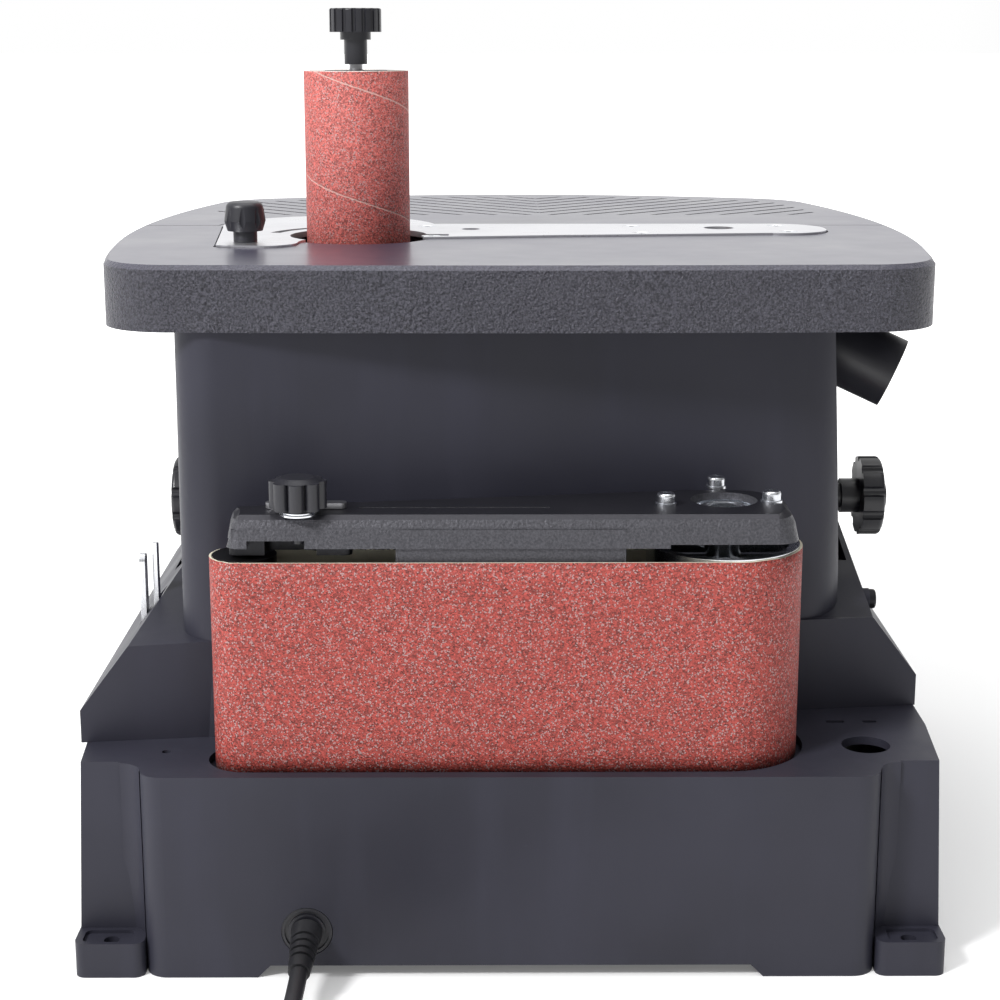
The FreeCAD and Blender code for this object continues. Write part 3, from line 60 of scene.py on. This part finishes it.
# ---- procedural finishes ----
class Finish:
    """A material whose patterns are laid out in the object's own metres."""

    def __init__(self, name, colour, roughness, metallic=0.0, ior=1.5):
        self.material = bpy.data.materials.new(name)
        self.material.use_nodes = True
        tree = self.material.node_tree
        self.nodes, self.links = tree.nodes, tree.links
        self.shader = self.nodes["Principled BSDF"]
        self.set("Base Color", (*colour, 1.0))
        self.set("Roughness", roughness)
        self.set("Metallic", metallic)
        self.set("IOR", ior)
        where = self.nodes.new("ShaderNodeTexCoord")
        self.place, self.facing = where.outputs["Object"], where.outputs["Normal"]
        self.relief = None

    def set(self, socket, value):
        self.shader.inputs[socket].default_value = value

    def drive(self, socket, source):
        self.links.new(source, self.shader.inputs[socket])

    def node(self, kind, inputs, **settings):
        """A new node with its settings, and its inputs set to numbers or linked to sockets."""
        made = self.nodes.new("ShaderNode" + kind)
        for key, value in settings.items():
            setattr(made, key, value)
        for key, value in inputs.items():
            if isinstance(value, bpy.types.NodeSocket):
                self.links.new(value, made.inputs[key])
            else:
                made.inputs[key].default_value = value
        return made

    def scaled(self, x, y, z):
        return self.node("Mapping", {"Vector": self.place, "Scale": (x, y, z)}).outputs["Vector"]

    def noise(self, scale, detail=2.0, rough=0.5, place=None):
        made = self.node("TexNoise", {"Vector": place or self.place, "Scale": scale,
                                      "Detail": detail, "Roughness": rough})
        return made.outputs["Fac"]

    def cells(self, scale, output="Distance", place=None):
        made = self.node("TexVoronoi", {"Vector": place or self.place, "Scale": scale})
        return made.outputs[output]

    def fit(self, value, low, high, to_low=0.0, to_high=1.0):
        """Maps low..high to to_low..to_high, and holds it at both ends."""
        made = self.node("MapRange", {"Value": value, "From Min": low, "From Max": high,
                                      "To Min": to_low, "To Max": to_high})
        return made.outputs["Result"]

    def math(self, operation, a, b=0.0):
        return self.node("Math", {0: a, 1: b}, operation=operation).outputs["Value"]

    def part(self, vector, axis):
        return self.node("SeparateXYZ", {"Vector": vector}).outputs[axis]

    def blend(self, factor, a, b):
        made = self.node("Mix", {"Factor": factor}, data_type="RGBA")
        for socket, colour in zip([s for s in made.inputs if s.type == "RGBA"], (a, b)):
            if isinstance(colour, bpy.types.NodeSocket):
                self.links.new(colour, socket)
            else:
                socket.default_value = (*colour, 1.0)
        return next(s for s in made.outputs if s.type == "RGBA")

    def bump(self, height, distance, strength=1.0):
        """Adds relief of the given depth on top of what is there."""
        inputs = {"Height": height, "Distance": distance, "Strength": strength}
        if self.relief:
            inputs["Normal"] = self.relief
        self.relief = self.node("Bump", inputs).outputs["Normal"]
        self.drive("Normal", self.relief)


def shade(colour, factor):
    return tuple(min(1.0, c * factor) for c in colour)


def moulded_plastic(name, colour, roughness=0.46, grain=0.00003, marks=0.5, ior=1.5):
    """Spark-eroded plastic: a fine grain, cloudy gloss, a little dust, and lighter vertical streaks
    painted as a reflected sheen.
    """
    finish = Finish(name, colour, roughness, ior=ior)
    cloud = finish.noise(9.0, 3.0)
    streak = finish.noise(1.0, 3.0, 0.6, finish.scaled(34.0, 34.0, 5.0))
    dust = finish.fit(finish.noise(420.0, 4.0, 0.7), 0.70, 0.84, 0.0, marks)
    even = finish.blend(finish.fit(cloud, 0.35, 0.65), shade(colour, 0.84), shade(colour, 1.16))
    # Painted reflection: stretched noise lightens the colour in vertical streaks that stand in for sheen
    # on the satin surface.
    sheen_streaked = finish.blend(finish.fit(streak, 0.52, 0.80, 0.0, 0.30), even, shade(colour, 1.9))
    finish.drive("Base Color", finish.blend(dust, sheen_streaked, shade(colour, 3.2)))
    gloss = finish.math("ADD", finish.fit(cloud, 0.3, 0.7, -0.05, 0.06),
                        finish.fit(streak, 0.4, 0.7, roughness - 0.03, roughness + 0.07))
    finish.drive("Roughness", gloss)
    finish.bump(finish.noise(1900.0, 2.0, 0.6), grain)
    finish.bump(finish.noise(60.0, 2.0), 0.00010, 0.35)
    return finish.material


def cast_paint(name, top, side, roughness, top_grain, side_grain, gloss=0.0, speckle=0.55):
    """Paint over a casting: smooth on top, with the sand texture showing on the sides; the colour changes
    with which way a face points, as painted light and reflection.
    """
    finish = Finish(name, top, roughness)
    up = finish.fit(finish.part(finish.facing, "Z"), 0.55, 0.9)
    away = finish.math("SUBTRACT", 1.0, up)
    patches = finish.noise(16.0, 3.0, 0.6)
    painted_top_tone = finish.blend(patches, shade(top, 0.8), shade(top, 1.2))
    speck = finish.fit(finish.noise(1000.0, 2.0, 0.5), 0.38, 0.62)
    painted_side_tone = finish.blend(speck, shade(side, 1 - speckle), shade(side, 1 + speckle))
    # Painted light: upward faces get the top tone and other faces the side tone, standing in for how light
    # and reflection fall on one paint.
    finish.drive("Base Color", finish.blend(up, painted_side_tone, painted_top_tone))
    finish.drive("Roughness", finish.fit(patches, 0.3, 0.7, roughness - 0.04, roughness + 0.06))
    if gloss:
        finish.drive("Coat Weight", finish.math("MULTIPLY", up, gloss))
        finish.set("Coat Roughness", 0.24)
        finish.set("Coat IOR", 1.7)
    finish.set("Specular Tint", (0.92, 0.90, 1.0, 1.0))
    sand = finish.math("MULTIPLY", finish.noise(640.0, 3.0, 0.62), away)
    finish.bump(sand, side_grain)
    peel = finish.math("MULTIPLY", finish.noise(95.0, 3.0, 0.5), away)
    finish.bump(peel, side_grain * 0.8)
    finish.bump(finish.noise(1500.0, 2.0, 0.5), top_grain)
    return finish.material


def machined(name, colour, roughness, brush=(1.0, 1.0, 1.0)):
    """Bare metal with fine lines along the long way of brush, and light stains."""
    finish = Finish(name, colour, roughness, metallic=1.0)
    lines = finish.noise(1.0, 3.0, 0.6, finish.scaled(*(2400.0 * b for b in brush)))
    stain = finish.noise(22.0, 4.0, 0.6)
    stained = finish.fit(stain, 0.45, 0.8, 0.0, 0.5)
    finish.drive("Base Color", finish.blend(stained, colour, shade(colour, 0.72)))
    spread = finish.math("ADD", finish.fit(lines, 0.3, 0.7, -0.05, 0.07),
                         finish.fit(stain, 0.3, 0.8, roughness - 0.03, roughness + 0.10))
    finish.drive("Roughness", spread)
    finish.bump(lines, 0.000012)
    return finish.material


def soft_rubber(name, colour, roughness=0.62, grain=0.00005):
    """Matt rubber with a bloom of dust."""
    finish = Finish(name, colour, roughness)
    cloud = finish.noise(30.0, 4.0, 0.6)
    finish.drive("Base Color", finish.blend(finish.fit(cloud, 0.4, 0.75), colour, shade(colour, 1.8)))
    finish.drive("Roughness", finish.fit(cloud, 0.3, 0.7, roughness - 0.08, roughness + 0.1))
    finish.bump(finish.noise(1100.0, 3.0, 0.6), grain)
    return finish.material


def grit(finish, colour, grain_size):
    """Colour and relief of a coat of abrasive grains, some turned pale as painted glints; returns the
    colour socket.
    """
    per_metre = 1.0 / grain_size
    grain = finish.cells(per_metre, "Color")
    tone, glint_chance = finish.part(grain, "X"), finish.part(grain, "Y")
    drift = finish.noise(per_metre * 0.10, 3.0, 0.6)
    body = finish.blend(tone, shade(colour, 0.25), shade(colour, 1.75))
    body = finish.blend(finish.fit(drift, 0.35, 0.70, 0.0, 0.25), body, shade(colour, 1.5))
    # Painted highlight: a share of grains is made pale to stand in for glints off the grit.
    painted_glint_tone = tuple(0.5 * c + 0.24 for c in colour)
    body = finish.blend(finish.fit(glint_chance, 0.84, 0.92, 0.0, 0.9), body, painted_glint_tone)
    finish.bump(finish.cells(per_metre), 0.00024, 0.8)
    finish.bump(finish.noise(per_metre * 0.5, 2.0, 0.6), 0.00015, 0.5)
    return body


def abrasive_cloth(name, colour, grain_size):
    finish = Finish(name, colour, 0.62)
    finish.drive("Base Color", grit(finish, colour, grain_size))
    return finish.material


def spiral_sleeve(name, colour, grain_size, centre, seam_z, lead, width):
    """Abrasive on a spirally wound paper tube: one pale seam runs round and down."""
    finish = Finish(name, colour, 0.62)
    coat = grit(finish, colour, grain_size)
    x = finish.math("SUBTRACT", finish.part(finish.place, "X"), centre.x)
    y = finish.math("SUBTRACT", finish.part(finish.place, "Y"), centre.y)
    turn = finish.math("DIVIDE", finish.math("ARCTAN2", y, x), 2 * math.pi)
    height = finish.math("DIVIDE", finish.math("SUBTRACT", finish.part(finish.place, "Z"), seam_z), lead)
    ragged = finish.math("MULTIPLY", finish.math("SUBTRACT", finish.noise(500.0, 2.0), 0.5), 0.014)
    phase = finish.math("FRACT", finish.math("ADD", finish.math("ADD", turn, height), 20.5))
    away = finish.math("ABSOLUTE", finish.math("ADD", finish.math("SUBTRACT", phase, 0.5), ragged))
    seam = finish.fit(away, width / lead * 0.3, width / lead * 0.8, 0.55, 0.0)
    finish.drive("Base Color", finish.blend(seam, coat, (0.72, 0.52, 0.46)))
    groove = finish.fit(away, 0.0, width / lead, 0.0, 1.0)
    finish.bump(groove, 0.00025)
    return finish.material


def woven_backing(name, colour):
    """The cloth side of the belt: a fine weave."""
    finish = Finish(name, colour, 0.8)
    weave = finish.node("TexWave", {"Vector": finish.place, "Scale": 620.0, "Distortion": 1.2},
                        bands_direction="Z").outputs["Fac"]
    finish.drive("Base Color", finish.blend(weave, shade(colour, 0.75), shade(colour, 1.1)))
    finish.bump(weave, 0.00006)
    finish.bump(finish.noise(900.0, 3.0), 0.00008)
    return finish.material


CHARCOAL = (0.026, 0.026, 0.038)
FINISHES = {
    "housing": moulded_plastic("housing_plastic", CHARCOAL, ior=1.36),
    # The table's bluer top colour is a painted reflection tint.
    "table": cast_paint("table_paint", (0.042, 0.040, 0.070), (0.042, 0.042, 0.052), 0.34,
                        0.000010, 0.0022, 0.60, 0.55),
    # The arm's near-black top and lighter sides are painted light and shade of one paint.
    "arm": cast_paint("arm_paint", (0.010, 0.010, 0.013), (0.050, 0.050, 0.056), 0.42, 0.00003, 0.0005,
                      speckle=0.25),
    "insert": machined("insert_steel", (0.80, 0.80, 0.83), 0.30, (0.03, 1.0, 1.0)),
    "knob": moulded_plastic("knob_plastic", (0.017, 0.017, 0.022), 0.33, 0.000012, 0.25),
    "zinc": machined("fastener_zinc", (0.80, 0.82, 0.86), 0.20),
    "tool": machined("tool_steel", (0.74, 0.75, 0.78), 0.24, (1.0, 1.0, 0.05)),
    "steel": machined("plain_steel", (0.48, 0.48, 0.50), 0.34, (1.0, 1.0, 0.2)),
    "black": machined("blackened_steel", (0.035, 0.035, 0.038), 0.42, (1.0, 1.0, 0.2)),
    "motor": cast_paint("motor_paint", (0.09, 0.095, 0.10), (0.09, 0.095, 0.10), 0.42, 0.00002, 0.0001),
    "bronze": machined("bronze", (0.52, 0.36, 0.16), 0.40),
    "nylon": moulded_plastic("nylon", (0.42, 0.41, 0.37), 0.5, 0.00002, 0.1),
    "rubber": soft_rubber("black_rubber", (0.016, 0.016, 0.017)),
    "pvc": soft_rubber("cord_pvc", (0.012, 0.012, 0.014), 0.42, 0.000015),
    "on": moulded_plastic("on_green", (0.02, 0.25, 0.06), 0.34, 0.00001, 0.1),
    "off": moulded_plastic("off_red", (0.45, 0.02, 0.02), 0.34, 0.00001, 0.1),
    "grit": abrasive_cloth("belt_abrasive", (0.285, 0.043, 0.034), 0.00062),
    "backing": woven_backing("belt_backing", (0.62, 0.58, 0.46)),
    "paper": soft_rubber("paper_edge", (0.72, 0.68, 0.62), 0.75, 0.00004),
}
NODE_FINISH = {
    "housing": ["base_housing", "body_housing"],
    "table": ["rear_table", "front_table"],
    "arm": ["belt_arm", "spindle_bracket"],
    "insert": ["table_insert", "platen"],
    "knob": ["arm_lock_knob", "tilt_lock_knob_left", "tilt_lock_knob_right", "drum_knob", "dust_port",
             "switch_box", "tracking_knob", "cord_gland", "mains_plug"],
    "zinc": ["insert_screws", "arm_screws", "tracking_washers", "drive_roller", "arm_bearing"],
    "black": ["drum_washer", "body_screws", "idler_roller", "idler_carriage", "idler_axle"],
    "tool": ["hex_key", "spanner"],
    "steel": ["tilt_quadrant_left", "tilt_quadrant_right", "hinge_pin_left", "hinge_pin_right",
              "tilt_lock_studs", "motor_bearings", "motor_rotor", "motor_stator", "motor_pulley",
              "spindle_pulley", "lift_yoke", "spindle_shaft", "tension_spring", "spring_guide",
              "tension_lever"],
    "motor": ["motor_case", "bottom_cover"],
    "bronze": ["spindle_bushes"],
    "nylon": ["motor_fan", "lift_wheel"],
    "rubber": ["rubber_feet", "drive_belt", "rubber_drum"],
    "pvc": ["strain_relief"],
    "on": ["on_button"],
    "off": ["off_button"],
}
for finish_name, nodes in NODE_FINISH.items():
    for node in nodes:
        materials = NODES[node].data.materials
        materials.clear()
        materials.append(FINISHES[finish_name])


# ---- mesh helpers ----
def piece(name, body, mesh, materials):
    obj = bpy.data.objects.new(name, mesh)
    bpy.context.scene.collection.objects.link(obj)
    for material in materials:
        obj.data.materials.append(FINISHES[material])
    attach(obj, body)
    return obj


# ---- abrasive belt: a skin of grains on cloth, its edges a little uneven ----
BELT_THICK = 0.001


def belt_path(grow, steps=26):
    """Points round the two rollers, grown outwards from the belt's inner face."""
    _, _, small_axis = span("idler_roller")
    _, _, big_axis = span("drive_roller")
    low, high, _ = span("sanding_belt")
    small = small_axis.x - low.x - BELT_THICK + grow
    big = high.x - big_axis.x - BELT_THICK + grow
    base = math.hypot(big_axis.x - small_axis.x, big_axis.y - small_axis.y)
    lean = math.atan2(big_axis.y - small_axis.y, big_axis.x - small_axis.x)
    spread = math.asin((big - small) / base)
    start = -math.pi / 2
    end = lean + spread + math.pi / 2
    points = []
    for k in range(steps + 1):
        a = start + (end - start) * k / steps
        points.append((big_axis.x + big * math.cos(a), big_axis.y + big * math.sin(a)))
    for k in range(steps + 1):
        a = end + (start + 2 * math.pi - end) * k / steps
        points.append((small_axis.x + small * math.cos(a), small_axis.y + small * math.sin(a)))
    return points


def make_belt():
    low, high, _ = span("sanding_belt")
    inner, outer = belt_path(0.0), belt_path(BELT_THICK)
    rows = 10
    mesh = bpy.data.meshes.new("abrasive_belt")
    bm = bmesh.new()
    rings = []
    for path, levels in ((outer, range(rows + 1)), (inner, range(rows, -1, -1))):
        for level in levels:
            ring = []
            for k, (x, y) in enumerate(path):
                edge = abs(level / rows - 0.5) * 2
                fray = 0.00022 * math.sin(k * 2.3) * math.sin(k * 0.71 + level) * (edge > 0.99)
                z = low.z + (high.z - low.z) * level / rows
                z = min(high.z, max(low.z, z - abs(fray)))
                ring.append(bm.verts.new((x, y, z)))
            rings.append(ring)
    count = len(outer)
    for i in range(len(rings)):
        a, b = rings[i], rings[(i + 1) % len(rings)]
        for k in range(count):
            m = (k + 1) % count
            face = bm.faces.new((a[k], a[m], b[m], b[k]))
            face.material_index = 0 if i < rows else 1
            face.smooth = i not in (rows, 2 * rows + 1)
    bmesh.ops.recalc_face_normals(bm, faces=bm.faces)
    bm.to_mesh(mesh)
    bm.free()
    belt = piece("abrasive_belt", "arm", mesh, ["grit", "backing"])
    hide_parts("sanding_belt")


make_belt()


# ---- sanding sleeve: abrasive outside, paper edge on top ----
SEAM_LEAD, SEAM_WIDTH, SEAM_Z = 0.056, 0.0007, 0.3894


def make_sleeve():
    low, high, middle = span("sanding_sleeve")
    outer = (high.x - low.x) / 2
    drum_low, drum_high, _ = span("rubber_drum")
    inner = (drum_high.x - drum_low.x) / 2 + 0.00002
    edge = 0.0002
    profile = [(inner, low.z), (outer - edge, low.z), (outer, low.z + edge), (outer, high.z - edge),
               (outer - edge, high.z), (inner, high.z)]
    sides = 128
    mesh = bpy.data.meshes.new("abrasive_sleeve")
    bm = bmesh.new()
    rings = [[bm.verts.new((middle.x + r * math.cos(2 * math.pi * k / sides),
                            middle.y + r * math.sin(2 * math.pi * k / sides), z)) for k in range(sides)]
             for r, z in profile]
    for i in range(len(rings)):
        a, b = rings[i], rings[(i + 1) % len(rings)]
        for k in range(sides):
            m = (k + 1) % sides
            face = bm.faces.new((a[k], a[m], b[m], b[k]))
            face.material_index = 0 if i == 2 else 1
            face.smooth = i in (2, 5)
    bmesh.ops.recalc_face_normals(bm, faces=bm.faces)
    bm.to_mesh(mesh)
    bm.free()
    FINISHES["sleeve"] = spiral_sleeve("sleeve_abrasive", (0.42, 0.095, 0.082), 0.00058, middle,
                                       SEAM_Z, SEAM_LEAD, SEAM_WIDTH)
    sleeve = piece("abrasive_sleeve", "spindle", mesh, ["sleeve", "paper"])
    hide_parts("sanding_sleeve")


make_sleeve()


# ---- mains cord: one spline from the strain relief through the coil to the plug ----
CORD_R = 0.0041
COIL_X, COIL_Y = -0.0515, -0.351
COIL_RINGS = (0.0400, 0.0484, 0.0568)    # inner, middle and outer turns
LAYERS = (0.0042, 0.0126)


def ease(angle, start, end):
    """0 before start, 1 after end, smooth between; degrees."""
    t = min(1.0, max(0.0, (angle - start) / (end - start)))
    return t * t * (3 - 2 * t)


def coil_points():
    """Three turns inwards on the floor, then outwards on top of them; shifts are staggered."""
    inner, middle, outer = COIL_RINGS
    step = 18
    points = []
    for angle in range(180, 2070 + 1, step):
        r = outer
        r += (middle - outer) * ease(angle, 460, 520)
        r += (inner - middle) * ease(angle, 820, 880)
        r += (middle - inner) * ease(angle, 1480, 1540)
        r += (outer - middle) * ease(angle, 1840, 1900)
        z = LAYERS[0] + (LAYERS[1] - LAYERS[0]) * ease(angle, 1140, 1200)
        r /= math.cos(math.radians(step / 2)) ** 2
        a = math.radians(angle)
        points.append((COIL_X + r * math.cos(a), COIL_Y + r * math.sin(a), z))
    return points


OUT_POINTS = [(-0.0959, -0.2310, 0.0163), (-0.0969, -0.2470, 0.0112), (-0.0992, -0.2650, 0.0062),
              (-0.1018, -0.2860, 0.00425), (-0.1060, -0.3080, 0.0042), (-0.1083, -0.3280, 0.0042)]
TAIL_POINTS = [(-0.0380, -0.4085, 0.0124), (-0.0200, -0.4088, 0.0105), (0.0010, -0.4060, 0.0082),
               (0.0180, -0.4010, 0.0110), (0.0400, -0.4005, 0.0130)]


def make_cord():
    curve = bpy.data.curves.new("mains_cord", "CURVE")
    curve.dimensions = "3D"
    spline = curve.splines.new("NURBS")
    points = OUT_POINTS + coil_points() + TAIL_POINTS
    spline.points.add(len(points) - 1)
    for target, place in zip(spline.points, points):
        target.co = (*place, 1.0)
    spline.order_u = 3
    spline.use_endpoint_u = True
    spline.resolution_u = 6
    curve.bevel_depth = CORD_R
    curve.bevel_resolution = 5
    curve.use_fill_caps = True
    curve.materials.append(FINISHES["pvc"])
    cord = bpy.data.objects.new("mains_cord", curve)
    bpy.context.scene.collection.objects.link(cord)
    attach(cord, "housing")
    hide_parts("cord", "cord_coil", "cord_tail")


make_cord()


# ---- tension spring: a copy of the model's spring, carried by the arm ----
def make_spring():
    spring = piece("tension_coil", "arm", NODES["tension_spring"].data.copy(), [])
    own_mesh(spring)
    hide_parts("tension_spring")


make_spring()


# ---- soft edges on the carried-over mouldings ----
EDGE_SOFTNESS = {"base_housing": 0.0012, "body_housing": 0.0012, "dust_port": 0.0006, "mains_plug": 0.0012}
for node, width in EDGE_SOFTNESS.items():
    bevel = NODES[node].modifiers.new("soft_edges", "BEVEL")
    bevel.width = width
    bevel.segments = 2
    bevel.limit_method = "ANGLE"
    bevel.angle_limit = math.radians(40)
    bevel.harden_normals = False


# ---- studio ----
def make_floor():
    """A pale floor that glows a little, and more so far beyond the part."""
    half = 40.0
    mesh = bpy.data.meshes.new("floor")
    corners = [(-half, -half, 0), (half, -half, 0), (half, half, 0), (-half, half, 0)]
    mesh.from_pydata(corners, [], [(0, 1, 2, 3)])
    floor = bpy.data.objects.new("floor", mesh)
    bpy.context.scene.collection.objects.link(floor)
    paper = Finish("studio_floor", (0.93, 0.93, 0.93), 0.9)
    paper.set("Emission Color", (1.0, 1.0, 1.0, 1.0))
    paper.drive("Emission Strength", paper.fit(paper.part(paper.place, "Y"), 0.35, 2.2, 0.13, 0.95))
    mesh.materials.append(paper.material)


SKY_DIM = 0.44                     # brightness of the sky low down behind the camera


def make_sky():
    """White beyond the part and overhead, dimmer low down behind the camera and to the right."""
    world = bpy.data.worlds.new("studio")
    bpy.context.scene.world = world
    world.use_nodes = True
    nodes, links = world.node_tree.nodes, world.node_tree.links
    where = nodes.new("ShaderNodeTexCoord")
    split = nodes.new("ShaderNodeSeparateXYZ")
    links.new(where.outputs["Generated"], split.inputs["Vector"])

    def fade(axis, low, high, to_low, to_high):
        made = nodes.new("ShaderNodeMapRange")
        links.new(split.outputs[axis], made.inputs["Value"])
        limits = {"From Min": low, "From Max": high, "To Min": to_low, "To Max": to_high}
        for socket, value in limits.items():
            made.inputs[socket].default_value = value
        return made.outputs["Result"]

    def combine(operation, a, b):
        made = nodes.new("ShaderNodeMath")
        made.operation = operation
        links.new(a, made.inputs[0])
        links.new(b, made.inputs[1])
        return made.outputs["Value"]

    beyond = fade("Y", -0.05, 0.4, SKY_DIM, 1.0)
    above = fade("Z", 0.45, 0.9, SKY_DIM, 0.9)
    beyond_or_above = combine("MAXIMUM", beyond, above)
    strength = combine("MULTIPLY", beyond_or_above, fade("X", 0.22, 0.95, 1.0, 0.45))
    links.new(strength, nodes["Background"].inputs["Strength"])
    nodes["Background"].inputs["Color"].default_value = (1.0, 1.0, 1.0, 1.0)


def soft_light(name, place, target, size, power):
    data = bpy.data.lights.new(name, "AREA")
    data.shape = "DISK"
    data.size = size
    data.energy = power
    lamp = bpy.data.objects.new(name, data)
    lamp.location = place
    lamp.rotation_euler = (Vector(target) - Vector(place)).to_track_quat("-Z", "Y").to_euler()
    bpy.context.scene.collection.objects.link(lamp)


def make_camera():
    data = bpy.data.cameras.new("camera")
    data.lens = 72.0
    data.sensor_width = 36.0
    data.clip_start = 0.01
    camera = bpy.data.objects.new("camera", data)
    camera.location = (-0.0095, -1.0623, 0.430)
    pitch, yaw = math.radians(90 - 13.17), math.radians(-0.3)
    camera.rotation_euler = Euler((pitch, 0.0, yaw))
    bpy.context.scene.collection.objects.link(camera)
    bpy.context.scene.camera = camera


make_floor()
make_sky()
make_camera()
soft_light("key", (-1.8, -1.7, 2.2), (0.0, 0.0, 0.2), 0.7, 86.0)
soft_light("top", (0.0, 0.2, 2.6), (0.0, 0.0, 0.0), 2.4, 24.0)
bpy.context.scene.view_settings.view_transform = "Standard"
